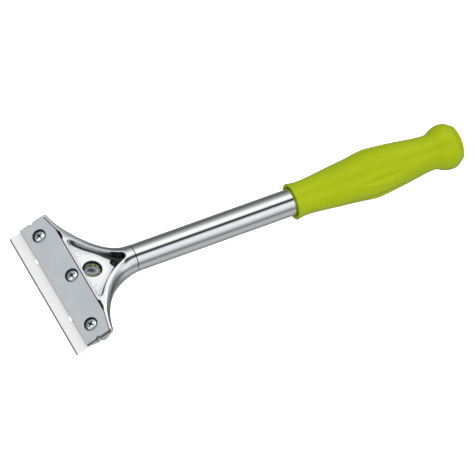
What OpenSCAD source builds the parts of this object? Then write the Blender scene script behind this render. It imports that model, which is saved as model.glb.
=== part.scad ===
// Long-handled blade scraper for glass and stone.
// The handle tube lies along X, with the grip towards +X and the blade towards -X.
// The origin is on the tube's axis, at the seam between the head and the tube.

/* [Blade] */
// Length of the cutting edge
blade_l = 100; // [96:1:104]
// Depth of the blade, from its edge to its back
blade_d = 15.5; // [14.5:0.1:15.5]
// Thickness of the blade
blade_t = 0.5; // [0.4:0.05:0.6]
// How far the blade stands out of the clamp plate
blade_out = 9.2; // [8.8:0.1:9.6]
// Width of the ground bevel along the edge
bevel_w = 1.2; // [0.8:0.1:1.6]
// Radius of the two round holes in the blade
blade_hole_r = 2.7; // [2:0.1:3]
// Distance of each hole from the middle of the blade
blade_hole_y = 24.8; // [22:0.1:28]

/* [Clamp plate] */
// Length of the plate, along the blade
plate_l = 99; // [95:1:103]
// Depth of the plate in the middle
plate_d = 20.7; // [20.5:0.1:21.2]
// Depth of the plate at its two ends
plate_end_d = 17.5; // [17:0.1:18]
// Thickness of the plate
plate_t = 2.8; // [2.7:0.1:3.2]
// Distance of the plate's slanted corners from the middle
plate_corner_y = 35.5; // [33:0.5:38]

/* [Screws] */
// Radius of the screw's shank
shank_r = 2; // [1.8:0.05:2]
// Length of the shank under the head
shank_len = 3.8; // [3.4:0.1:4]
// Radius of the screw's head
head_r = 4.2; // [4:0.1:4.2]
// Height of the screw's head
head_h = 1.9; // [1.7:0.1:2]
// Radius of the counterbore in the plate
counterbore_r = 4.6; // [4.5:0.1:4.8]
// Depth of the counterbore in the plate
counterbore_d = 2.2; // [2:0.1:2.2]
// Distance of the end screws from the middle
end_screw_y = 38; // [37:0.5:40]
// Distance of the end screws behind the plate's front edge
end_screw_a = 9.2; // [9.2:0.1:9.8]
// Distance of the centre screw behind the plate's front edge
centre_screw_a = 14.6; // [14:0.1:15]

/* [Head] */
// Angle of the blade's plane to the tube
bend = 28; // [26:0.5:30]
// Radius of the flanks, seen from above
flank_r = 47.3; // [46.8:0.1:47.8]
// Height of the ribs above the tube's axis
rib_z = 8.8; // [8.6:0.1:8.9]
// Radius of the pocket's curved sides, seen from above
pocket_r = 45.3; // [44.8:0.1:45.8]
// Height of the pocket's floor above the tube's axis
floor_z = 5; // [4.5:0.1:5.5]
// Height of the deeper floor near the neck
deep_floor_z = 1.5; // [1:0.1:2]
// Radius of the round recess in the pocket
recess_r = 6.3; // [6:0.1:6.5]
// Radius of the hole near the neck
hang_hole_r = 3; // [2.5:0.1:3.2]

/* [Handle] */
// Radius of the tube
tube_r = 9; // [9:0.1:9.2]
// Wall of the tube
tube_wall = 1.2; // [1:0.1:1.5]
// Length of bare tube between the head and the grip
tube_bare = 115; // [80:1:200]
// Length of the grip
grip_len = 123; // [122:1:126]

/* [Hidden] */
$fn = 96;
// Gap between parts that slide or turn on each other
gap = 0.02;
// Radial gap between a round part and its hole
fit_gap = 0.05;
// Overshoot of a cut past the face it opens
over = 1;
// Front edge of the plate's top face, on the middle line
plate_x = -57.6;
plate_z = -0.4;
plate_land = -plate_t - gap;
blade_floor = plate_land - blade_t - 2 * gap;
jaw_t = 0.8;
jaw_setback = 0.4;
// Notch in each end of the plate and the casting
notch_a = 8.7;
notch_r = 1.1;
// Rim of the casting around the plate: its height over the plate's top face, and its gap
rim_above = 0.2;
rim_gap = 0.15;
// Flank: part of a ring whose section matches the neck. It bends round the point [flank_x, flank_y].
flank_ring = flank_r + tube_r;
flank_x = 8;
flank_y = tube_r + sqrt(pow(flank_r, 2) - pow(flank_x, 2));
// Middle of the pocket's curved sides
pocket_x = 3;
pocket_y = 47.5;
// Underside of the head: the low arch between the jaw and the neck
arch_x = -39.5;
arch_z = -2.5;
heel_x = -6;
heel_z = 0.1 - tube_r;
// Pocket, recess and holes along the middle line
pocket_front_x = -38.2;
pocket_back_x = -5.5;
floor_step_x = -24;
floor_foot_x = -10;
recess_x = -29.5;
recess_z = 1.2;
badge_r = 5.4;
badge_h = 3.3;
badge_dome_r = 14;
hang_hole_x = -13.3;
ejector_x = -33.2;
ejector_y = 14.8;
ejector_r = 2.7;
ejector_ring = 0.4;
ejector_depth = 0.15;
spigot_len = 30;
spigot_r = tube_r - tube_wall - fit_gap;
spigot_chamfer = 1;
screw_hole_depth = shank_len + 0.4;
// Cross recess in the screw heads
cross_l = 4.6;
cross_w = 0.8;
cross_depth = 1.3;
head_crown_r = 9;
// Grip
mouth_r = 10;
mouth_depth = 3;
tube_end_gap = 12;
grip_steps = 3;
// Outline of the grip: distance from the mouth and radius, at the turns of its shape
grip_stations = [[0, 12.2], [2, 11.9], [6, 11.5], [13, 11.7], [30, 13.5], [46, 15.2], [53, 16.2],
                 [58, 16.6], [63, 16.3], [78, 14.6], [92, 12.6], [99, 11.9], [103, 12.2],
                 [107, 14.2], [112, 15.4], [116.5, 14.8], [120, 12.6], [122.2, 8.6], [123, 0]];
grip_nominal = 123;

// Lays its children out in the blade's own plane: x runs back from the plate's front edge and
// z = 0 is the plate's top face.
module pitched() {
    translate([plate_x, 0, plate_z]) rotate([0, -bend, 0]) children();
}

// Point of the blade's plane in the side view of the head: [x, z]
function pitched_point(a, z) = [plate_x + a * cos(bend) - z * sin(bend),
                                plate_z + a * sin(bend) + z * cos(bend)];

// Distance behind the plate's front edge where the casting's rim reaches the height of the ribs
rim_end_a = (rib_z - plate_z - rim_above * cos(bend)) / sin(bend);

// Extrudes a side view [x, z] across the whole width of the head
module across(width) {
    translate([0, width / 2, 0]) rotate([90, 0, 0]) linear_extrude(width) children();
}

// Side view of the head without its neck
module side_view() {
    polygon([pitched_point(jaw_setback, rim_above), pitched_point(rim_end_a, rim_above),
             [0, rib_z], [0, heel_z], [heel_x, heel_z], [arch_x, arch_z],
             pitched_point(jaw_setback, blade_floor - jaw_t)]);
}

// Removes everything outside one flank and leaves it with a round section
module flank_cutter() {
    rotate_extrude() difference() {
        translate([0, -2 * tube_r]) square([flank_ring, 4 * tube_r]);
        translate([flank_ring, 0]) circle(r = tube_r);
    }
}

// Outline of the pocket seen from above
module pocket_plan() {
    difference() {
        translate([pocket_front_x, -pocket_y])
            square([pocket_back_x - pocket_front_x, 2 * pocket_y]);
        for (side = [-1, 1]) translate([pocket_x, side * pocket_y]) circle(r = pocket_r, $fn = 192);
    }
}

// Side view of the space inside the pocket
module pocket_side() {
    polygon([[pocket_front_x, floor_z], [floor_step_x, floor_z], [floor_foot_x, deep_floor_z],
             [pocket_back_x, deep_floor_z], [pocket_back_x, 2 * tube_r],
             [pocket_front_x, 2 * tube_r]]);
}

// Space for the plate, open at the front and at both ends
module plate_place() {
    far = plate_l;
    slant = (plate_d - plate_end_d) / (plate_l / 2 - plate_corner_y);
    far_d = plate_d + rim_gap - slant * (far - plate_corner_y);
    pitched() translate([0, 0, plate_land]) linear_extrude(3 * plate_t)
        polygon([[-over, -far], [far_d, -far], [plate_d + rim_gap, -plate_corner_y],
                 [plate_d + rim_gap, plate_corner_y], [far_d, far], [-over, far]]);
}

// Shallow ring left by an ejector pin in the pocket's floor
module ejector_mark() {
    translate([0, 0, floor_z - ejector_depth]) difference() {
        cylinder(r = ejector_r, h = over);
        translate([0, 0, -over]) cylinder(r = ejector_r - ejector_ring, h = 3 * over);
    }
}

// Places a child at each of the three screws, with z = 0 on the counterbore's floor
module at_screw(a, y) {
    pitched() translate([a, y, -counterbore_d]) children();
}

module end_notches() {
    pitched() for (side = [-1, 1])
        translate([notch_a, side * plate_l / 2, -4 * plate_t])
            cylinder(r = notch_r, h = 5 * plate_t);
}

module head_casting() {
    color("gainsboro") difference() {
        union() {
            difference() {
                across(plate_l) side_view();
                for (side = [-1, 1]) translate([flank_x, side * flank_y, 0]) flank_cutter();
            }
            translate([pocket_back_x, 0, 0]) rotate([0, 90, 0])
                cylinder(r = tube_r, h = -pocket_back_x);
            rotate([0, 90, 0]) cylinder(r = spigot_r, h = spigot_len - spigot_chamfer);
            translate([spigot_len - spigot_chamfer, 0, 0]) rotate([0, 90, 0])
                cylinder(r1 = spigot_r, r2 = spigot_r - spigot_chamfer, h = spigot_chamfer);
        }
        intersection() {
            translate([0, 0, -tube_r]) linear_extrude(4 * tube_r) pocket_plan();
            across(2 * flank_y) pocket_side();
        }
        plate_place();
        translate([recess_x, 0, recess_z]) cylinder(r = recess_r, h = tube_r);
        translate([hang_hole_x, 0, -2 * tube_r]) cylinder(r = hang_hole_r, h = 3 * tube_r);
        for (side = [-1, 1]) translate([ejector_x, side * ejector_y, 0]) ejector_mark();
        // Seat of the blade, with a shoulder behind it
        pitched() translate([-over, -blade_l, blade_floor])
            cube([blade_d - blade_out + gap + over, 2 * blade_l, over + blade_t]);
        for (y = [-end_screw_y, end_screw_y])
            at_screw(end_screw_a, y) translate([0, 0, -screw_hole_depth])
                cylinder(r = shank_r + fit_gap, h = screw_hole_depth);
        at_screw(centre_screw_a, 0) translate([0, 0, -screw_hole_depth])
            cylinder(r = shank_r + fit_gap, h = screw_hole_depth);
        end_notches();
    }
}

module badge_disc() {
    color("darkseagreen") translate([recess_x, 0, recess_z + gap]) intersection() {
        cylinder(r = badge_r, h = badge_h);
        translate([0, 0, badge_h - badge_dome_r]) sphere(r = badge_dome_r);
    }
}

module blade() {
    z_top = plate_land - gap;
    color("whitesmoke") pitched() difference() {
        translate([0, blade_l / 2, 0]) rotate([90, 0, 0]) linear_extrude(blade_l)
            polygon([[-blade_out, z_top - blade_t / 2], [bevel_w - blade_out, z_top],
                     [blade_d - blade_out, z_top], [blade_d - blade_out, z_top - blade_t],
                     [bevel_w - blade_out, z_top - blade_t]]);
        for (side = [-1, 1])
            translate([over, side * blade_hole_y, z_top - 2 * blade_t])
                cylinder(r = blade_hole_r, h = 3 * blade_t);
    }
}

module clamp_plate() {
    color("silver") difference() {
        pitched() translate([0, 0, -plate_t]) linear_extrude(plate_t)
            polygon([[0, -plate_l / 2], [plate_end_d, -plate_l / 2], [plate_d, -plate_corner_y],
                     [plate_d, plate_corner_y], [plate_end_d, plate_l / 2], [0, plate_l / 2]]);
        for (place = [[end_screw_a, -end_screw_y], [end_screw_a, end_screw_y], [centre_screw_a, 0]])
            at_screw(place[0], place[1]) {
                cylinder(r = counterbore_r, h = counterbore_d + over);
                translate([0, 0, -plate_t]) cylinder(r = shank_r + fit_gap, h = 2 * plate_t);
            }
        end_notches();
    }
}

// Screw with its head standing on z = 0
module screw() {
    color("lightgray") difference() {
        union() {
            intersection() {
                translate([0, 0, gap]) cylinder(r = head_r, h = head_h);
                translate([0, 0, head_h - head_crown_r + gap]) sphere(r = head_crown_r);
            }
            translate([0, 0, -shank_len]) cylinder(r = shank_r, h = shank_len + head_h / 2);
        }
        for (turn = [0, 90]) rotate([0, 0, turn])
            translate([-cross_l / 2, -cross_w / 2, head_h - cross_depth])
                cube([cross_l, cross_w, 2 * cross_depth]);
    }
}

module screw_left() {
    at_screw(end_screw_a, end_screw_y) rotate([0, 0, 20]) screw();
}

module screw_right() {
    at_screw(end_screw_a, -end_screw_y) rotate([0, 0, 38]) screw();
}

module screw_centre() {
    at_screw(centre_screw_a, 0) rotate([0, 0, 5]) screw();
}

module handle_tube() {
    color("white") rotate([0, 90, 0]) difference() {
        cylinder(r = tube_r, h = tube_bare + grip_len - tube_end_gap);
        translate([0, 0, -over])
            cylinder(r = tube_r - tube_wall, h = tube_bare + grip_len - tube_end_gap + 2 * over);
    }
}

// Smooth curve between stations i and i + 1, at the fraction f
function station_slope(i) = let (n = len(grip_stations) - 1, lo = max(i - 1, 0), hi = min(i + 1, n))
    (grip_stations[hi][1] - grip_stations[lo][1]) / (grip_stations[hi][0] - grip_stations[lo][0]);
function grip_radius(i, f) =
    let (a = grip_stations[i], b = grip_stations[i + 1], w = b[0] - a[0])
    (2 * pow(f, 3) - 3 * pow(f, 2) + 1) * a[1] + (pow(f, 3) - 2 * pow(f, 2) + f) * w * station_slope(i)
    + (3 * pow(f, 2) - 2 * pow(f, 3)) * b[1] + (pow(f, 3) - pow(f, 2)) * w * station_slope(i + 1);

// The last stations close the end in straight steps, because a spline would overshoot there
closing_station = 16;
grip_outline = concat(
    [for (i = [0 : closing_station - 1], k = [0 : grip_steps - 1])
        let (f = k / grip_steps, a = grip_stations[i], b = grip_stations[i + 1])
        [grip_radius(i, f), (a[0] + f * (b[0] - a[0])) * grip_len / grip_nominal]],
    [for (i = [closing_station : len(grip_stations) - 1])
        [grip_stations[i][1], grip_stations[i][0] * grip_len / grip_nominal]]);

module grip() {
    bore_end = grip_len - tube_end_gap + gap;
    color("yellowgreen") translate([tube_bare, 0, 0]) rotate([0, 90, 0]) rotate_extrude()
        polygon(concat(grip_outline, [[0, bore_end], [tube_r + gap, bore_end],
                                      [tube_r + gap, mouth_depth], [mouth_r, 0]]));
}

head_casting();
badge_disc();
blade();
clamp_plate();
screw_left();
screw_right();
screw_centre();
handle_tube();
grip();
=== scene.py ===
"""Long-handled blade scraper: the finished surfaces, materials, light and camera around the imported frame."""

import math

import bmesh
import bpy
import numpy as np
from mathutils import Matrix, Vector


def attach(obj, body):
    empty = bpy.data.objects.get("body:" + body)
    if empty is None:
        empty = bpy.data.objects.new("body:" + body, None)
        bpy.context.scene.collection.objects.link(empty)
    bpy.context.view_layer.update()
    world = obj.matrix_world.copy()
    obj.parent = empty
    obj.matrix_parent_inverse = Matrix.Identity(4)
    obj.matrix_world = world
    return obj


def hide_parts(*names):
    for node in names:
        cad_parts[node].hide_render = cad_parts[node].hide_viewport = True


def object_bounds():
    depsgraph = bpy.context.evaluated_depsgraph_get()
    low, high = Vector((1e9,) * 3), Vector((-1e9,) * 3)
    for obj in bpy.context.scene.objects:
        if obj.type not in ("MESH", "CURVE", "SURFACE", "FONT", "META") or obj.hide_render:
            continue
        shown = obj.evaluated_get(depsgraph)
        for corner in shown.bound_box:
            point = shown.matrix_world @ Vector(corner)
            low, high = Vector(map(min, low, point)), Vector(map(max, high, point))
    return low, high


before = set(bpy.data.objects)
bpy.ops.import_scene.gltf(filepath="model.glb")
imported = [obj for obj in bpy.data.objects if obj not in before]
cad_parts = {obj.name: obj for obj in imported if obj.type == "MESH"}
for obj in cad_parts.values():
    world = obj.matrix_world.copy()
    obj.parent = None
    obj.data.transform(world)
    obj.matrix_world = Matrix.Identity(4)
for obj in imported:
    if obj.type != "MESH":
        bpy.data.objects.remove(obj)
cad_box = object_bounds()

MM = 0.001

# ---- sizes shared with the CAD source, in millimetres -------------------------------------------
BEND = math.radians(28)
PLATE_X, PLATE_Z = -57.6, -0.4      # front edge of the plate's top face, on the middle line
PLATE_T = 2.8
PLATE_L = 99.0
SEAT = -PLATE_T - 0.02              # the casting's face under the plate, in the plate's own plane
BLADE_T, BLADE_DEPTH, BLADE_OUT = 0.5, 15.5, 9.2    # depth from its edge, and how much of that is in front
BLADE_FLOOR = SEAT - BLADE_T - 0.06     # the casting's face under the blade
BLADE_BACK = BLADE_DEPTH - BLADE_OUT + 0.15
PLATE_D, PLATE_END_D, CORNER_Y = 20.7, 17.5, 35.5
PLATE_GAP = 0.3                     # between the plate's rear edge and the casting
TUBE_R = 9.0
NECK_END = 0.12                     # the fine gap between the casting's neck and the tube
TOP_Z, FLOOR_Z, DEEP_Z = 10.4, 5.0, 1.5
POCKET_FRONT, POCKET_BACK, POCKET_END_Y = -37.3, -6.4, 26.2
RECESS_X, RECESS_R, RECESS_Z = -29.5, 6.3, 1.2
HANG_X, HANG_R = -13.3, 3.0
EJECTOR_X, EJECTOR_Y, EJECTOR_R = -33.2, 14.8, 2.5
SCREWS = {"left": (9.2, 38.0, 20), "right": (9.2, -38.0, 38), "centre": (14.6, 0.0, 5)}   # back, side, turn
COUNTERBORE_R, COUNTERBORE_D, SHANK_HOLE_R = 4.6, 2.2, 2.05
HEAD_R, HEAD_H, CROWN_R, SHANK_LEN, PITCH = 4.2, 1.92, 9.0, 3.78, 0.7
HOLE_END, HOLE_CORNER = 6.3, 8.1    # a screw hole's depth, and the cut corner round its bottom
NOTCH_A, NOTCH_R = 8.7, 1.1
SPIGOT_R, SPIGOT_LEN = 7.75, 29.9
JAW_BACK, JAW_T = 0.4, 0.8          # how far the jaw starts behind the plate, and its thickness
ARCH_X, ARCH_Z, HEEL_X, HEEL_Z = -39.5, -2.5, -6, -8.9     # corners of the underside's outline
# Ribs: seen from above they bend round the point (0, ARC_Y). Their round section starts as the neck's and
# gets smaller and higher towards the ends: its middle's distance from that point, its height and its radius.
ARC_Y = 47.0
RIB_ANGLES = np.radians((0, 14, 28, 46, 70, 95))
RIB_RING = np.polyfit(RIB_ANGLES, (47, 46.1, 44.5, 41.6, 40.3, 42.4), 5)
RIB_MIDDLE = np.polyfit(RIB_ANGLES, (0, -0.4, 0.8, 3.5, 5.5, 5.3), 5)
RIB_RADIUS = np.polyfit(RIB_ANGLES, (9, 9.2, 8.8, 6.7, 4.5, 3.7), 5)
CREST_SLOPE = math.radians(18)      # the ribs' tops are straight until their round side is this steep
UNDER_SLOPE = math.radians(56)      # the same for their undersides, counted from straight down
RIB_END, WALL_END = 97, 87          # the angles, in degrees, at which the ribs' and the wall's curves stop
# The pocket's wall, as its distance from the same point
WALL_RING = np.polyfit(np.radians((8, 14, 24, 38, 60, 71, 87)), (45.6, 44.4, 43.3, 41.8, 40.9, 40.7, 41.8), 5)
TUBE_LEN, GRIP_LEN, TUBE_BARE = 226.0, 123.0, 115.0


# ---- materials ----------------------------------------------------------------------------------
def material(name, **sockets):
    """A Principled material with these values on its own sockets, and helpers to reach its nodes."""
    made = bpy.data.materials.new(name)
    made.use_nodes = True
    shader = made.node_tree.nodes["Principled BSDF"]
    for socket, value in sockets.items():
        shader.inputs[socket.replace("_", " ").title().replace("Ior", "IOR")].default_value = value
    return made, made.node_tree, shader


def object_coordinates(tree, scale=(1, 1, 1), rotation=(0, 0, 0)):
    place = tree.nodes.new("ShaderNodeTexCoord")
    mapping = tree.nodes.new("ShaderNodeMapping")
    mapping.inputs["Scale"].default_value = scale
    mapping.inputs["Rotation"].default_value = rotation
    tree.links.new(place.outputs["Object"], mapping.inputs["Vector"])
    return mapping.outputs["Vector"]


def noise(tree, vector, scale, detail=3.0, roughness=0.5):
    made = tree.nodes.new("ShaderNodeTexNoise")
    made.inputs["Scale"].default_value = scale
    made.inputs["Detail"].default_value = detail
    made.inputs["Roughness"].default_value = roughness
    tree.links.new(vector, made.inputs["Vector"])
    return made.outputs["Fac"]


def spread(tree, value, low, high, start=0.35, end=0.65):
    """Maps a texture's middle range onto the numbers low to high."""
    made = tree.nodes.new("ShaderNodeMapRange")
    made.inputs["From Min"].default_value = start
    made.inputs["From Max"].default_value = end
    made.inputs["To Min"].default_value = low
    made.inputs["To Max"].default_value = high
    tree.links.new(value, made.inputs["Value"])
    return made.outputs["Result"]


def tint(tree, value, dark, light, start=None):
    """A colour that goes from dark, or from a linked starting colour, to light."""
    made = tree.nodes.new("ShaderNodeMix")
    made.data_type = "RGBA"
    if start is None:
        made.inputs["A"].default_value = (*dark, 1)
    else:
        tree.links.new(start, made.inputs["A"])
    made.inputs["B"].default_value = (*light, 1)
    tree.links.new(value, made.inputs["Factor"])
    return made.outputs["Result"]


def remap(tree, value, start, end, low, high):
    """Goes smoothly from low to high while the value goes from start to end."""
    made = tree.nodes.new("ShaderNodeMapRange")
    made.interpolation_type = "SMOOTHSTEP"
    made.inputs["From Min"].default_value = start
    made.inputs["From Max"].default_value = end
    made.inputs["To Min"].default_value = low
    made.inputs["To Max"].default_value = high
    tree.links.new(value, made.inputs["Value"])
    return made.outputs["Result"]


def towards(tree, direction, aim):
    """The cosine of the angle between a direction and the aim."""
    made = tree.nodes.new("ShaderNodeVectorMath")
    made.operation = "DOT_PRODUCT"
    made.inputs[1].default_value = Vector(aim).normalized()
    tree.links.new(direction, made.inputs[0])
    return made.outputs["Value"]


def layer_value(tree, name):
    """A number that the piece's mesh carries at each of its points."""
    layer = tree.nodes.new("ShaderNodeAttribute")
    layer.attribute_name = name
    return layer.outputs["Fac"]


def with_shade_and_marks(tree, colour, dark):
    """The colour, darkened where the piece's own layer carries painted shade in its hollows and gaps, and a
    few real marks and some dirt.
    """
    return tint(tree, layer_value(tree, "painted_shade_and_marks"), None, dark, colour)


def bump(tree, height, strength, distance, under=None):
    made = tree.nodes.new("ShaderNodeBump")
    made.inputs["Strength"].default_value = strength
    made.inputs["Distance"].default_value = distance
    tree.links.new(height, made.inputs["Height"])
    if under is not None:
        tree.links.new(under, made.inputs["Normal"])
    return made.outputs["Normal"]


def plated_casting():
    """Chrome over a die casting: soft orange peel, and a haze that comes and goes."""
    made, tree, shader = material("chrome_casting")
    where = object_coordinates(tree)
    haze = noise(tree, where, 90, 4)
    plating = tint(tree, spread(tree, haze, 0, 1), (0.86, 0.87, 0.89), (0.93, 0.94, 0.95))
    matt = layer_value(tree, "matt")
    surface = tint(tree, matt, None, (0.98, 0.985, 0.99), plating)
    # painted shade from the casting's layer darkens the pocket's walls, the recess, the small hole and the
    # gaps
    tree.links.new(with_shade_and_marks(tree, surface, (0.05, 0.055, 0.06)), shader.inputs["Base Color"])
    rough = tree.nodes.new("ShaderNodeMix")
    tree.links.new(matt, rough.inputs["Factor"])
    tree.links.new(spread(tree, haze, 0.09, 0.17), rough.inputs["A"])
    rough.inputs["B"].default_value = 0.35
    tree.links.new(rough.outputs["Result"], shader.inputs["Roughness"])
    tree.links.new(spread(tree, matt, 1.0, 0.15, 0.0, 1.0), shader.inputs["Metallic"])
    peel = bump(tree, noise(tree, where, 260, 2), 0.10, 0.0004)
    tree.links.new(bump(tree, noise(tree, where, 2600, 2), 0.05, 0.00005, peel), shader.inputs["Normal"])
    return made


def plated_tube():
    """Chrome over drawn tube: almost a mirror, with faint marks along its length."""
    made, tree, shader = material("chrome_tube", metallic=1.0)
    along = object_coordinates(tree, (6, 260, 260))
    streaks = noise(tree, along, 3.0, 4)
    tree.links.new(tint(tree, spread(tree, streaks, 0, 1), (0.88, 0.89, 0.90), (0.93, 0.93, 0.94)),
                   shader.inputs["Base Color"])
    tree.links.new(spread(tree, streaks, 0.035, 0.075), shader.inputs["Roughness"])
    tree.links.new(bump(tree, noise(tree, object_coordinates(tree, (30, 160, 160)), 1.0, 2), 0.04, 0.0002),
                   shader.inputs["Normal"])
    return made


def satin_plate():
    """Bead-blasted nickel: fine even grain with a few brighter and duller patches."""
    made, tree, shader = material("satin_nickel", metallic=1.0)
    where = object_coordinates(tree)
    patches = noise(tree, where, 70, 3)
    grain = noise(tree, where, 5200, 2)
    satin = tint(tree, spread(tree, patches, 0, 1), (0.70, 0.74, 0.76), (0.75, 0.79, 0.81))
    # painted shade from the plate's layer darkens its counterbores and cut edges
    tree.links.new(with_shade_and_marks(tree, satin, (0.05, 0.055, 0.06)), shader.inputs["Base Color"])
    tree.links.new(spread(tree, grain, 0.34, 0.44), shader.inputs["Roughness"])
    tree.links.new(bump(tree, grain, 0.22, 0.00004), shader.inputs["Normal"])
    return made


def ground_steel():
    """Ground steel: fine lines along the edge, and a painted dark reflection in a strip along the ground edge.
    """
    made, tree, shader = material("ground_steel", metallic=0.45)
    lines = noise(tree, object_coordinates(tree, (9000, 60, 9000)), 1.0, 2)
    steel = tint(tree, spread(tree, lines, 0, 1), (0.94, 0.935, 0.93), (0.98, 0.975, 0.965))
    place = tree.nodes.new("ShaderNodeTexCoord").outputs["Object"]
    back = towards(tree, place, (math.cos(BEND), 0, math.sin(BEND)))
    edge = (PLATE_X * math.cos(BEND) + PLATE_Z * math.sin(BEND) - BLADE_OUT) * MM
    # painted reflection: a dark strip along the ground bevel of the edge
    dark_reflection_strip = remap(tree, back, edge + 0.8 * MM, edge + 1.15 * MM, 1.0, 0.0)
    tree.links.new(tint(tree, dark_reflection_strip, None, (0.20, 0.20, 0.205), steel), shader.inputs["Base Color"])
    tree.links.new(spread(tree, lines, 0.12, 0.18), shader.inputs["Roughness"])
    tree.links.new(bump(tree, lines, 0.05, 0.00001), shader.inputs["Normal"])
    return made


def bright_zinc():
    made, tree, shader = material("bright_zinc", metallic=1.0)
    where = object_coordinates(tree)
    cloud = noise(tree, where, 900, 3)
    zinc = tint(tree, spread(tree, cloud, 0, 1), (0.74, 0.78, 0.79), (0.90, 0.93, 0.93))
    # painted shade from the screw's layer darkens its cross recess
    tree.links.new(with_shade_and_marks(tree, zinc, (0.09, 0.095, 0.10)), shader.inputs["Base Color"])
    tree.links.new(spread(tree, cloud, 0.14, 0.24), shader.inputs["Roughness"])
    tree.links.new(bump(tree, noise(tree, where, 4000, 2), 0.08, 0.00003), shader.inputs["Normal"])
    return made


def polished_disc():
    """A small domed disc whose near-black, blue-grey, olive and grey soft patches are painted reflections."""
    made, tree, shader = material("disc_painted_reflections", metallic=0.3)
    cloud = noise(tree, object_coordinates(tree), 150, 1.5)
    ramp = tree.nodes.new("ShaderNodeValToRGB")
    stops = ramp.color_ramp.elements
    # painted reflections of the dome: near black, blue-grey, olive and grey
    reflection_colours = [(0.30, (0.03, 0.035, 0.035)), (0.40, (0.20, 0.23, 0.27)), (0.46, (0.42, 0.50, 0.60)),
               (0.50, (0.05, 0.055, 0.05)), (0.56, (0.33, 0.35, 0.10)), (0.62, (0.10, 0.11, 0.06)),
               (0.70, (0.34, 0.36, 0.33))]
    for at, colour in reflection_colours[1:-1]:
        stops.new(at)
    for stop, (at, colour) in zip(stops, reflection_colours):
        stop.position = at
        stop.color = (*colour, 1)
    tree.links.new(cloud, ramp.inputs["Fac"])
    tree.links.new(ramp.outputs["Color"], shader.inputs["Base Color"])
    tree.links.new(spread(tree, cloud, 0.08, 0.16), shader.inputs["Roughness"])
    return made


def moulded_grip():
    """Semi-gloss moulded plastic: fine texture, faint flow marks along the grip."""
    made, tree, shader = material("lime_plastic", ior=1.49, specular_ior_level=0.6)
    shader.inputs["Specular Tint"].default_value = (1, 1, 0.3, 1)
    where = object_coordinates(tree)
    flow = noise(tree, object_coordinates(tree, (18, 90, 90)), 1.0, 3)
    grain = noise(tree, where, 1500, 3)
    tree.links.new(tint(tree, spread(tree, flow, 0, 1), (0.335, 0.435, 0.0), (0.365, 0.47, 0.001)),
                   shader.inputs["Base Color"])
    tree.links.new(spread(tree, grain, 0.24, 0.34), shader.inputs["Roughness"])
    waves = bump(tree, flow, 0.06, 0.0006)
    tree.links.new(bump(tree, grain, 0.10, 0.00006, waves), shader.inputs["Normal"])
    return made


CASTING, TUBE, PLATE = plated_casting(), plated_tube(), satin_plate()
BLADE, SCREW, DISC, GRIP = ground_steel(), bright_zinc(), polished_disc(), moulded_grip()


# ---- pieces -------------------------------------------------------------------------------------
def dress(obj, body, finish):
    obj.data.materials.clear()
    obj.data.materials.append(finish)
    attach(obj, body)


def new_piece(name, mesh):
    obj = bpy.data.objects.new(name, mesh)
    bpy.context.scene.collection.objects.link(obj)
    return obj


def lathe(name, outline, turns=160, radius=lambda x, r, angle: r):
    """A solid turned round the X axis from a closed outline of (x, r), in millimetres."""
    mesh = bmesh.new()
    rings = []
    for x, r in outline:
        if r < 1e-6:
            rings.append([mesh.verts.new((x * MM, 0, 0))])
            continue
        ring = []
        for k in range(turns):
            angle = 2 * math.pi * k / turns
            at = radius(x, r, angle) * MM
            ring.append(mesh.verts.new((x * MM, at * math.sin(angle), at * math.cos(angle))))
        rings.append(ring)
    for i in range(len(rings) - 1 + (outline[0][1] > 1e-6)):
        a, b = rings[i], rings[(i + 1) % len(rings)]
        for k in range(turns):
            n = (k + 1) % turns
            corners = [a[k % len(a)], a[n % len(a)], b[n % len(b)], b[k % len(b)]]
            mesh.faces.new(list(dict.fromkeys(corners)))
    bmesh.ops.recalc_face_normals(mesh, faces=mesh.faces)
    data = bpy.data.meshes.new(name)
    mesh.to_mesh(data)
    mesh.free()
    data.shade_smooth()
    return new_piece(name, data)


def spline(stations, steps):
    """Points on a smooth curve through (x, r) stations."""
    points = []
    last = len(stations) - 1
    slope = []
    for i in range(last + 1):
        lo, hi = max(i - 1, 0), min(i + 1, last)
        slope.append((stations[hi][1] - stations[lo][1]) / (stations[hi][0] - stations[lo][0]))
    for i in range(last):
        (x0, r0), (x1, r1) = stations[i], stations[i + 1]
        w = x1 - x0
        for k in range(steps):
            f = k / steps
            r = ((2 * f**3 - 3 * f**2 + 1) * r0 + (f**3 - 2 * f**2 + f) * w * slope[i]
                 + (3 * f**2 - 2 * f**3) * r1 + (f**3 - f**2) * w * slope[i + 1])
            points.append((x0 + f * w, r))
    return points + [stations[last]]


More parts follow.
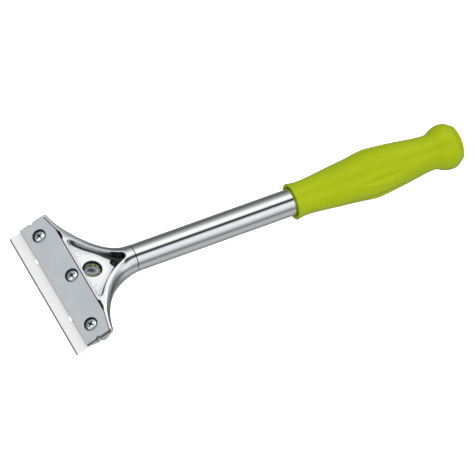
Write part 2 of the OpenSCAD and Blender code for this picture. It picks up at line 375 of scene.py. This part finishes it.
def build_grip():
    """The moulded handle: flared mouth, belly with eight shallow flutes, and a round knob."""
    body = [(0, 12.2), (0.5, 12.35), (2, 12.0), (6, 11.5), (13, 11.7), (30, 13.5), (46, 15.2), (53, 16.2),
            (58, 16.6), (63, 16.3), (78, 14.6), (92, 12.6), (99, 11.9), (103, 12.2), (107, 14.2),
            (112, 15.4), (116.5, 14.8), (120, 12.4)]
    outline = [(TUBE_BARE + x, r) for x, r in spline(body, 8)]
    cap_x, cap_r = body[-1]
    cap_len = GRIP_LEN - cap_x
    power = 0.5 + cap_len / cap_r
    for k in range(1, 13):
        a = math.pi / 2 * k / 12
        outline.append((TUBE_BARE + cap_x + cap_len * math.sin(a), cap_r * math.cos(a) ** power))
    outline[-1] = (TUBE_BARE + GRIP_LEN, 0)
    back_of_bore = TUBE_BARE + 111.02
    mouth = [(back_of_bore, 0), (back_of_bore, TUBE_R + 0.02), (TUBE_BARE + 3.2, TUBE_R + 0.02),
             (TUBE_BARE + 2.8, TUBE_R + 0.1), (TUBE_BARE + 0.5, TUBE_R + 1.0), (TUBE_BARE, TUBE_R + 1.5),
             (TUBE_BARE, TUBE_R + 2.2)]
    flutes = 8
    aim = math.radians(180 - 31.9)       # the ridge between two flutes that faces up and sideways

    def fluted(x, r, angle):
        along = (x - 176.5) / 14.5
        if abs(along) >= 1 or r < TUBE_R + 2:
            return r
        pitch = 2 * math.pi / flutes
        off = (angle - aim + pitch) % pitch - pitch / 2
        reach = math.radians(10.5) * math.sqrt(1 - along * along) ** 1.2
        if abs(off) >= reach:
            return r
        return r - 0.75 * (1 - (off / reach) ** 2) ** 1.5 * (reach / math.radians(10.5))

    obj = lathe("grip_moulding", outline[::-1] + mouth[::-1], 288, fluted)
    dress(obj, "head", GRIP)
    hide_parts("grip")


def build_tube():
    wall, edge = 1.2, 0.25
    outline = [(0, TUBE_R - edge), (edge * 0.3, TUBE_R - edge * 0.3), (edge, TUBE_R),
               (TUBE_LEN - edge, TUBE_R), (TUBE_LEN, TUBE_R - edge),
               (TUBE_LEN, TUBE_R - wall + 0.1), (TUBE_LEN - 0.1, TUBE_R - wall),
               (0.1, TUBE_R - wall), (0, TUBE_R - wall + 0.1)]
    steps = 46
    long = [(edge + (TUBE_LEN - 2 * edge) * k / steps, TUBE_R) for k in range(1, steps)]
    obj = lathe("tube_plated", outline[:3] + long + outline[3:], 192)
    dress(obj, "head", TUBE)
    obj.modifiers.new("keep_flat_ends", "WEIGHTED_NORMAL")
    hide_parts("handle_tube")


# The casting is one rounded solid: distances to its plain shapes, joined with soft corners.
def soft_max(a, b, k):
    h = np.maximum(k - np.abs(a - b), 0) / k
    return np.maximum(a, b) + h * h * k / 4


def soft_min(a, b, k):
    return -soft_max(-a, -b, k)


def smooth_step(value, start, end):
    f = np.clip((value - start) / (end - start), 0, 1)
    return f * f * (3 - 2 * f)


PITCHED = (Matrix.Translation((PLATE_X, 0, PLATE_Z))
           @ Matrix(((math.cos(BEND), 0, -math.sin(BEND), 0), (0, 1, 0, 0),
                     (math.sin(BEND), 0, math.cos(BEND), 0), (0, 0, 0, 1))))


def in_blade_plane(p):
    """The distance back from the plate's front edge, and the height over its top face."""
    x, z = p[:, 0] - PLATE_X, p[:, 2] - PLATE_Z
    return x * math.cos(BEND) + z * math.sin(BEND), z * math.cos(BEND) - x * math.sin(BEND)


def turn_at(x, side, end):
    """The angle round the ribs' centre, from 0 at the neck up to an end given in degrees."""
    return np.clip(np.arctan2(-x, ARC_Y - side), 0, math.radians(end))


def beyond_rib(x, side, z):
    """Distance outside the ribs' section: an arc, with a straight side beyond each of its ends."""
    turn = turn_at(x, side, RIB_END)
    outward = np.polyval(RIB_RING, turn) - np.hypot(x, side - ARC_Y)
    above = z - np.polyval(RIB_MIDDLE, turn)
    along = smooth_step(turn, math.radians(12), math.radians(35))
    first, last = CREST_SLOPE * along, math.pi - UNDER_SLOPE * along
    facing = np.arctan2(outward, above)
    straight = np.maximum(outward * np.sin(first) + above * np.cos(first),
                          outward * np.sin(last) + above * np.cos(last))
    on_arc = (facing > first) & (facing < last)
    return np.where(on_arc, np.hypot(outward, above), straight) - np.polyval(RIB_RADIUS, turn)


def ejector_ring(x, side):
    """Distance outside the circle of an ejector mark."""
    return np.hypot(x - EJECTOR_X, side - EJECTOR_Y) - EJECTOR_R


def pocket_distance(x, side, z):
    """The pocket between the ribs. Its floor slopes down to the neck and carries the ejector rings."""
    pocket = soft_max(soft_max(beyond_wall(x, side), x - POCKET_BACK, 1.6), POCKET_FRONT - x, 6.0)
    pocket = soft_max(pocket, side - POCKET_END_Y, 3.0)
    floor = FLOOR_Z + (DEEP_Z - FLOOR_Z) * smooth_step(x, -25, -8)
    floor = floor - 0.14 * np.exp(-(ejector_ring(x, side) / 0.3) ** 2)
    return soft_max(pocket, (floor - z) * 0.95, 1.8)


def screw_hole(a, y, h, back, across):
    """A blind hole for a screw, with a cut corner round its bottom."""
    reach = np.hypot(a - back, y - across)
    return np.max([reach - SHANK_HOLE_R, -HOLE_END - h, (reach - h - HOLE_CORNER) * 0.7], axis=0)


def casting_distance(p):
    """Roughly the distance in millimetres from points p to the casting's surface, negative inside."""
    x, y, z = p[:, 0], p[:, 1], p[:, 2]
    side = np.abs(y)
    a, h = in_blade_plane(p)
    body = soft_max(z - TOP_Z, h - 0.2, 1.0)
    body = soft_max(body, soft_min(heel_to_arch(x, z), arch_to_jaw(x, z), 2.0), 0.9)
    body = soft_max(body, beyond_rib(x, side, z), 1.0)
    body = soft_max(body, side - PLATE_L / 2, 0.9)
    body = soft_max(body, JAW_BACK - a, 0.5)
    body = soft_max(body, x + NECK_END, 0.3)
    neck = np.hypot(y, z) - TUBE_R
    neck = soft_max(neck, np.maximum(x + NECK_END, POCKET_BACK - 2 - x), 0.3)
    body = soft_min(body, neck, 0.8)
    # what is cut out: the plate's place, the pocket, the disc's recess, the small hole and the screws' holes
    body = soft_max(body, -soft_max(behind_gap(a, x, side), SEAT - h, 0.2), 0.3)
    body = soft_max(body, -pocket_distance(x, side, z), 0.7)
    recess = soft_max(np.hypot(x - RECESS_X, y) - RECESS_R, RECESS_Z - z, 0.5)
    body = soft_max(body, -recess, 0.5)
    body = soft_max(body, HANG_R - np.hypot(x - HANG_X, y), 0.6)
    for back, across, _ in SCREWS.values():
        body = soft_max(body, -screw_hole(a, y, h, back, across), 0.2)
    # the blade's seat, the notch in each end, and the spigot
    body = soft_max(body, -soft_max(BLADE_FLOOR - h, a - BLADE_BACK, 0.2), 0.2)
    body = soft_max(body, NOTCH_R - np.hypot(a - NOTCH_A, side - PLATE_L / 2), 0.3)
    spigot = soft_max(np.hypot(y, z) - SPIGOT_R, x - SPIGOT_LEN, 0.6)
    return np.minimum(body, np.maximum(spigot, -x - 1))


def behind_plate(a, side):
    """Distance behind the plate's rear edge, with its slanted corners."""
    slant = (PLATE_D - PLATE_END_D) / (PLATE_L / 2 - CORNER_Y)
    return np.maximum(a - PLATE_D, (a - PLATE_D + (side - CORNER_Y) * slant) / math.hypot(1, slant))


def beyond_wall(x, side):
    """Distance outside the curve of the pocket's walls, which runs on to the plate's corners."""
    return np.polyval(WALL_RING, turn_at(x, side, WALL_END)) - np.hypot(x, side - ARC_Y)


def behind_gap(a, x, side):
    """Distance behind the opening for the plate: a close fit, and a wedge between each corner and its rib."""
    channel = np.maximum(a - PLATE_D - PLATE_GAP - 1.2 * smooth_step(side, 25.5, 28), beyond_wall(x, side))
    return np.minimum(behind_plate(a, side) - PLATE_GAP, channel)


def plate_distance(p):
    """The clamp plate in its own plane: back from its front edge, along the blade, up from its top face."""
    a, y, h = p[:, 0], p[:, 1], p[:, 2]
    outline = soft_max(soft_max(behind_plate(a, np.abs(y)), -a, 0.3), np.abs(y) - PLATE_L / 2, 0.3)
    body = soft_max(outline, soft_max(h, -PLATE_T - h, 0.1), 0.45)
    for back, across, _ in SCREWS.values():
        reach = np.hypot(a - back, y - across)
        body = soft_max(body, -soft_max(reach - COUNTERBORE_R, -COUNTERBORE_D - h, 0.3), 0.35)
        body = soft_max(body, SHANK_HOLE_R - reach, 0.1)
    return soft_max(body, NOTCH_R - np.hypot(a - NOTCH_A, np.abs(y) - PLATE_L / 2), 0.3)


def cross_recess(p):
    """The tapered cross in a screw's head, as a distance that is negative inside it."""
    x, y = np.abs(p[:, 0]), np.abs(p[:, 1])
    deep = HEAD_H - p[:, 2]
    long, thick = 2.5 - 0.75 * deep, 0.34 - 0.05 * deep
    wings = np.minimum(np.maximum(x - long, y - thick), np.maximum(y - long, x - thick))
    middle = np.hypot(x, y) - 1.0 + 0.3 * deep
    return np.maximum(soft_min(wings, middle, 0.3), deep - 2.0)


def screw_distance(p):
    """A pan-head screw standing on z = 0, with a threaded shank."""
    z = p[:, 2]
    reach = np.hypot(p[:, 0], p[:, 1])
    crown = np.hypot(reach, z - HEAD_H + CROWN_R) - CROWN_R
    head = soft_max(soft_max(crown, reach - HEAD_R, 0.9), 0.02 - z, 0.3)
    phase = 2 * math.pi * z / PITCH - np.arctan2(p[:, 1], p[:, 0])
    shank = reach - 1.79 - 0.18 * np.cos(phase)
    shank = soft_max(shank * 0.8, -SHANK_LEN - z, 0.4)
    body = np.minimum(head, np.maximum(shank, z - 0.7))
    return soft_max(body, -cross_recess(p), 0.12)


def line_side(x, z, x0, z0, x1, z1):
    """Distance below the line from (x0, z0) to (x1, z1), positive under it."""
    length = math.hypot(x1 - x0, z1 - z0)
    return ((x - x0) * (z1 - z0) - (z - z0) * (x1 - x0)) / length


def heel_to_arch(x, z):
    return np.maximum(line_side(x, z, ARCH_X, ARCH_Z, HEEL_X, HEEL_Z), HEEL_Z - z)


def arch_to_jaw(x, z):
    low = BLADE_FLOOR - JAW_T
    front = (PLATE_X + JAW_BACK * math.cos(BEND) - low * math.sin(BEND),
             PLATE_Z + JAW_BACK * math.sin(BEND) + low * math.cos(BEND))
    return line_side(x, z, *front, ARCH_X, ARCH_Z)


def gradient(distance, points, step=0.02):
    return np.stack([(distance(points + step * axis) - distance(points - step * axis)) / (2 * step)
                     for axis in np.eye(3)], 1)


def net(distance, low, high, cell):
    """A closed net of quads over the surface where the distance is zero.

    Every cell of the grid that the surface crosses gets one point, and every crossed edge of the grid joins
    the four cells round it. The points then slide onto the surface."""
    low = np.array(low, float)
    counts = np.ceil((np.array(high) - low) / cell).astype(int) + 1
    axes = [low[i] + cell * np.arange(counts[i]) for i in range(3)]
    layers = np.stack(np.meshgrid(*axes, indexing="ij"), -1)
    inside = np.stack([(distance(layer.reshape(-1, 3)) < 0).reshape(layer.shape[:2]) for layer in layers])
    full = sum(inside[i:counts[0] - 1 + i, j:counts[1] - 1 + j, k:counts[2] - 1 + k].astype(int)
               for i in (0, 1) for j in (0, 1) for k in (0, 1))
    crossed = (full > 0) & (full < 8)
    number = np.full(crossed.shape, -1)
    number[crossed] = np.arange(crossed.sum())
    points = low + (np.argwhere(crossed) + 0.5) * cell
    quads = []
    for axis in range(3):
        _, u, v = np.roll(np.eye(3, dtype=int), -axis, axis=0)
        here = np.argwhere(inside & (np.roll(inside, -1, axis) == 0))
        there = np.argwhere((inside == 0) & np.roll(inside, -1, axis))
        for at, order in ((here, (0, 1, 3, 2)), (there, (2, 3, 1, 0))):
            around = [number[tuple((at - back).T)] for back in (0 * u, u, v, u + v)]
            quads.append(np.stack([around[i] for i in order], 1))
    quads = np.concatenate(quads)
    for turn in range(8):
        if turn in (3, 5):
            points = relaxed(points, quads)
        slope = gradient(distance, points)
        steep = np.maximum((slope**2).sum(1), 0.25)
        points = points - slope * np.clip(distance(points) / steep, -cell, cell)[:, None]
    return points, quads


def relaxed(points, quads):
    """Each point moved to the middle of the quads round it."""
    middle = points[quads].mean(1)
    total = np.zeros_like(points)
    count = np.zeros(len(points))
    for corner in quads.T:
        np.add.at(total, corner, middle)
        np.add.at(count, corner, 1)
    return total / count[:, None]


def skin(name, distance, low, high, cell, layers, place=Matrix()):
    """A new piece with this shape: its net in millimetres, put in its place, with the shape's own normals."""
    points, quads = net(distance, low, high, cell)
    slope = gradient(distance, points)
    slope /= np.linalg.norm(slope, axis=1)[:, None]
    turn = np.array(place.to_3x3())
    mesh = bpy.data.meshes.new(name)
    mesh.from_pydata(((points @ turn.T + np.array(place.translation)) * MM).tolist(), [], quads.tolist())
    mesh.shade_smooth()
    mesh.normals_split_custom_set_from_vertices((slope @ turn.T).tolist())
    for layer_name, value in layers.items():
        layer = mesh.attributes.new(layer_name, "FLOAT", "POINT")
        layer.data.foreach_set("value", value(points))
    return new_piece(name, mesh)


def pocket_depth_in(p):
    """How far inside the pocket's walls the points are, as seen from above."""
    return np.minimum(-beyond_wall(p[:, 0], np.abs(p[:, 1])), POCKET_BACK - p[:, 0])


def below_crest(p):
    """How far the points are below the top of the rib beside them."""
    turn = turn_at(p[:, 0], np.abs(p[:, 1]), RIB_END)
    return np.minimum(np.polyval(RIB_MIDDLE, turn) + np.polyval(RIB_RADIUS, turn), TOP_Z) - p[:, 2]


def casting_shade_and_marks(p):
    """Painted shade on the pocket's walls, in the recess and the small hole, and in the gaps behind the plate;
    also darker at the neck's end where it meets the tube, and on the ejector marks' faint rings.
    """
    x, y, z = p[:, 0], p[:, 1], p[:, 2]
    a, h = in_blade_plane(p)
    # painted shade down the pocket's walls
    inside = pocket_depth_in(p)
    foot = 0.7 + 2.6 * smooth_step(x, -24, -10)
    wall = smooth_step(inside, -0.15, 0.1) * (1 - smooth_step(inside, foot, foot + 0.9))
    wall = wall * smooth_step(below_crest(p), 0.5, 1.3)
    wall = wall * smooth_step(x, POCKET_FRONT - 1, POCKET_FRONT + 4) * (z > 0)
    recess = (1 - smooth_step(np.hypot(x - RECESS_X, y), RECESS_R + 0.1, RECESS_R + 0.35)) * (z > 0)
    hole = 1 - smooth_step(np.hypot(x - HANG_X, y), HANG_R + 0.1, HANG_R + 0.4)
    gap = (1 - smooth_step(behind_gap(a, x, np.abs(y)), 0.05, 0.2)) * (h > SEAT - 0.3) * (h < 0.1)
    seam = smooth_step(x, -0.75, -0.35)
    # the ejector marks themselves, a real mark, a little darker
    mark = 0.3 * np.exp(-(ejector_ring(x, np.abs(y)) / 0.25) ** 2) * (z > 0) * (z < FLOOR_Z + 0.5)
    return np.max([wall, recess, hole, gap, seam, mark], axis=0)


def casting_matt(p):
    """Where the surface is left as cast: the pocket's floor."""
    x, side, z = p[:, 0], np.abs(p[:, 1]), p[:, 2]
    inside = np.min([pocket_depth_in(p), x - POCKET_FRONT + 1.5, POCKET_END_Y + 1.5 - side], axis=0)
    low = 1 - smooth_step(z, FLOOR_Z + 0.3, FLOOR_Z + 1.2)
    return smooth_step(inside, 0.3, 1.2) * low * (z > 0)


def build_casting():
    cell = 0.4
    obj = skin("casting_skin", casting_distance, (-58.5, -51, -10.2), (31, 51, 11.6), cell,
               {"painted_shade_and_marks": casting_shade_and_marks, "matt": casting_matt})
    dress(obj, "head", CASTING)
    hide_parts("head_casting")


def plate_painted_shade(p):
    """Shade in the counterbores and down the cut edges."""
    # painted shade down the cut edges and the underside
    dark = 0.7 * smooth_step(-p[:, 2], 0.12, 0.45)
    for back, across, _ in SCREWS.values():
        reach = np.hypot(p[:, 0] - back, p[:, 1] - across)
        within = 1 - smooth_step(reach, COUNTERBORE_R + 0.02, COUNTERBORE_R + 0.2)
        dark = np.maximum(dark, smooth_step(-p[:, 2], 0.3, 1.0) * within)
    return dark


def build_plate():
    cell = 0.3
    obj = skin("plate_satin", plate_distance, (-0.8, -50.2, -3.5), (21.5, 50.2, 0.8), cell,
               {"painted_shade_and_marks": plate_painted_shade}, PITCHED)
    dress(obj, "clamp", PLATE)
    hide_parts("clamp_plate")


def screw_shade_and_dirt(p):
    """Dark in the cross: painted shade, with a little dirt."""
    return 1 - smooth_step(cross_recess(p), 0.0, 0.12)


def build_screw(name):
    back, across, turn = SCREWS[name]
    place = PITCHED @ Matrix.Translation((back, across, -COUNTERBORE_D))
    place = place @ Matrix.Rotation(math.radians(turn), 4, "Z")
    cell = 0.1
    obj = skin("screw_zinc_" + name, screw_distance, (-4.4, -4.4, -4.2), (4.4, 4.4, 2.0), cell,
               {"painted_shade_and_marks": screw_shade_and_dirt}, place)
    dress(obj, "screw_" + name[0], SCREW)
    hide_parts("screw_" + name)


def finish_node(node, finish):
    """Keeps a CAD node and gives it its material."""
    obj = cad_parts[node]
    obj.data.materials.clear()
    obj.data.materials.append(finish)


build_grip()
build_tube()
build_casting()
finish_node("badge_disc", DISC)
finish_node("blade", BLADE)
build_plate()
for which in SCREWS:
    build_screw(which)


# ---- floor, light and camera ----------------------------------------------------------------------
def white_floor():
    mesh = bmesh.new()
    bmesh.ops.create_grid(mesh, x_segments=8, y_segments=8, size=12)
    data = bpy.data.meshes.new("floor")
    mesh.to_mesh(data)
    mesh.free()
    floor = new_piece("floor", data)
    floor.location.z = cad_box[0].z - 0.0005
    made, _, shader = material("pale_floor", roughness=0.9)
    shader.inputs["Base Color"].default_value = (0.8, 0.8, 0.8, 1)
    shader.inputs["Emission Color"].default_value = (1, 1, 1, 1)
    shader.inputs["Emission Strength"].default_value = 1.0
    floor.data.materials.append(made)
    floor.visible_glossy = False
    floor.visible_diffuse = False
    floor.visible_shadow = False


def multiply(tree, a, b):
    made = tree.nodes.new("ShaderNodeMath")
    made.operation = "MULTIPLY"
    tree.links.new(a, made.inputs[0])
    tree.links.new(b, made.inputs[1])
    return made.outputs["Value"]


# Brightness by the angle in degrees from straight up towards +Y, seen along the tool: the table below, the
# wall beside it, the soft boxes and the gaps between them
BANDS = ((-180, 0.24), (-160, 0.30), (-142, 0.47), (-118, 0.50), (-107, 0.38), (-96, 0.22), (-88, 0.27),
         (-77, 0.55), (-65, 0.78), (-50, 0.93), (-36, 0.88), (-29, 0.50), (-21, 0.03), (-12, 0.03),
         (-5, 0.40), (2, 1.10), (20, 1.12), (32, 0.85), (45, 0.46), (60, 0.27), (78, 0.12), (90, 0.15),
         (130, 0.24), (180, 0.24))


def light_bands(tree, split):
    """The colour of the long soft boxes and the room between them, by the angle round the tool."""
    angle = tree.nodes.new("ShaderNodeMath")
    angle.operation = "ARCTAN2"
    tree.links.new(split.outputs["Y"], angle.inputs[0])
    tree.links.new(split.outputs["Z"], angle.inputs[1])
    turn = tree.nodes.new("ShaderNodeMapRange")
    turn.inputs["From Min"].default_value = -math.pi
    turn.inputs["From Max"].default_value = math.pi
    tree.links.new(angle.outputs[0], turn.inputs["Value"])
    ramp = tree.nodes.new("ShaderNodeValToRGB")
    tree.links.new(turn.outputs["Result"], ramp.inputs["Fac"])
    stops = ramp.color_ramp.elements
    while len(stops) > 1:
        stops.remove(stops[-1])
    for i, (degrees, level) in enumerate(BANDS):
        at = (degrees + 180) / 360
        stop = stops[0] if i == 0 else stops.new(at)
        stop.position = at
        cool = 1.03 if -90 < degrees < -25 else 1.01
        stop.color = (level / cool, level, level * cool, 1)
    return ramp.outputs["Color"]


def mirrored_light(tree, direction):
    """What shiny surfaces reflect. Towards the handle's end the gap between the boxes is filled, the room is
    darker, and darkest above it."""
    split = tree.nodes.new("ShaderNodeSeparateXYZ")
    tree.links.new(direction, split.inputs["Vector"])
    overhead = remap(tree, split.outputs["Z"], 0.0, 0.3, 0.0, 1.0)
    fill = multiply(tree, remap(tree, split.outputs["X"], 0.5, 0.75, 0.0, 0.8), overhead)
    bands = tree.nodes.new("ShaderNodeMix")
    bands.data_type = "RGBA"
    bands.blend_type = "LIGHTEN"
    bands.inputs["Factor"].default_value = 1.0
    tree.links.new(light_bands(tree, split), bands.inputs["A"])
    tree.links.new(fill, bands.inputs["B"])
    end_wall = remap(tree, split.outputs["X"], 0.8, 1.0, 1.0, 0.3)
    spot = remap(tree, towards(tree, direction, (0.87, 0.33, 0.37)), 0.965, 0.985, 1.0, 0.08)
    light = tree.nodes.new("ShaderNodeBackground")
    tree.links.new(bands.outputs["Result"], light.inputs["Color"])
    tree.links.new(multiply(tree, end_wall, spot), light.inputs["Strength"])
    return light


def soft_light(tree, direction):
    """Light for everything that isn't a mirror, mostly from above and a little from the camera's side."""
    lift = tree.nodes.new("ShaderNodeMapRange")
    lift.inputs["From Min"].default_value = -1
    lift.inputs["To Min"].default_value = 0.08
    lift.inputs["To Max"].default_value = 1.45
    tree.links.new(towards(tree, direction, (0, -0.4, 0.92)), lift.inputs["Value"])
    light = tree.nodes.new("ShaderNodeBackground")
    tree.links.new(lift.outputs["Result"], light.inputs["Color"])
    return light


def studio():
    """Long soft boxes for reflections, soft light for the rest, and plain white behind the object."""
    world = bpy.data.worlds.new("studio")
    bpy.context.scene.world = world
    world.use_nodes = True
    tree = world.node_tree
    tree.nodes.clear()
    direction = tree.nodes.new("ShaderNodeTexCoord").outputs["Generated"]
    white = tree.nodes.new("ShaderNodeBackground")
    white.inputs["Color"].default_value = (1, 1, 1, 1)
    paths = tree.nodes.new("ShaderNodeLightPath")
    light = mirrored_light(tree, direction)
    for ray, other in (("Is Diffuse Ray", soft_light(tree, direction)), ("Is Camera Ray", white)):
        choice = tree.nodes.new("ShaderNodeMixShader")
        tree.links.new(paths.outputs[ray], choice.inputs[0])
        tree.links.new(light.outputs[0], choice.inputs[1])
        tree.links.new(other.outputs[0], choice.inputs[2])
        light = choice
    out = tree.nodes.new("ShaderNodeOutputWorld")
    tree.links.new(light.outputs[0], out.inputs["Surface"])


def camera():
    """A long lens from above the blade's end, turned so that the tool rises to the right."""
    back = Vector((-0.321, -0.5, 0.804)).normalized()
    right = Vector((0.8916, -0.4462, 0.0782))
    right = (right - back * right.dot(back)).normalized()
    target = Vector((0.0644, -0.0197, 0.0135))
    away, span = 6.0, 306.2 * MM         # the camera's distance, and what the picture's width spans there
    data = bpy.data.cameras.new("camera")
    obj = bpy.data.objects.new("camera", data)
    bpy.context.scene.collection.objects.link(obj)
    obj.location = target + back * away
    obj.rotation_mode = "QUATERNION"
    obj.rotation_quaternion = Matrix((right, back.cross(right), back)).transposed().to_quaternion()
    data.sensor_width = 36
    data.lens = data.sensor_width * away / span
    data.clip_start, data.clip_end = 0.5, 40
    bpy.context.scene.camera = obj


white_floor()
studio()
camera()
view = bpy.context.scene.view_settings
view.view_transform = "Standard"
view.look = "None"
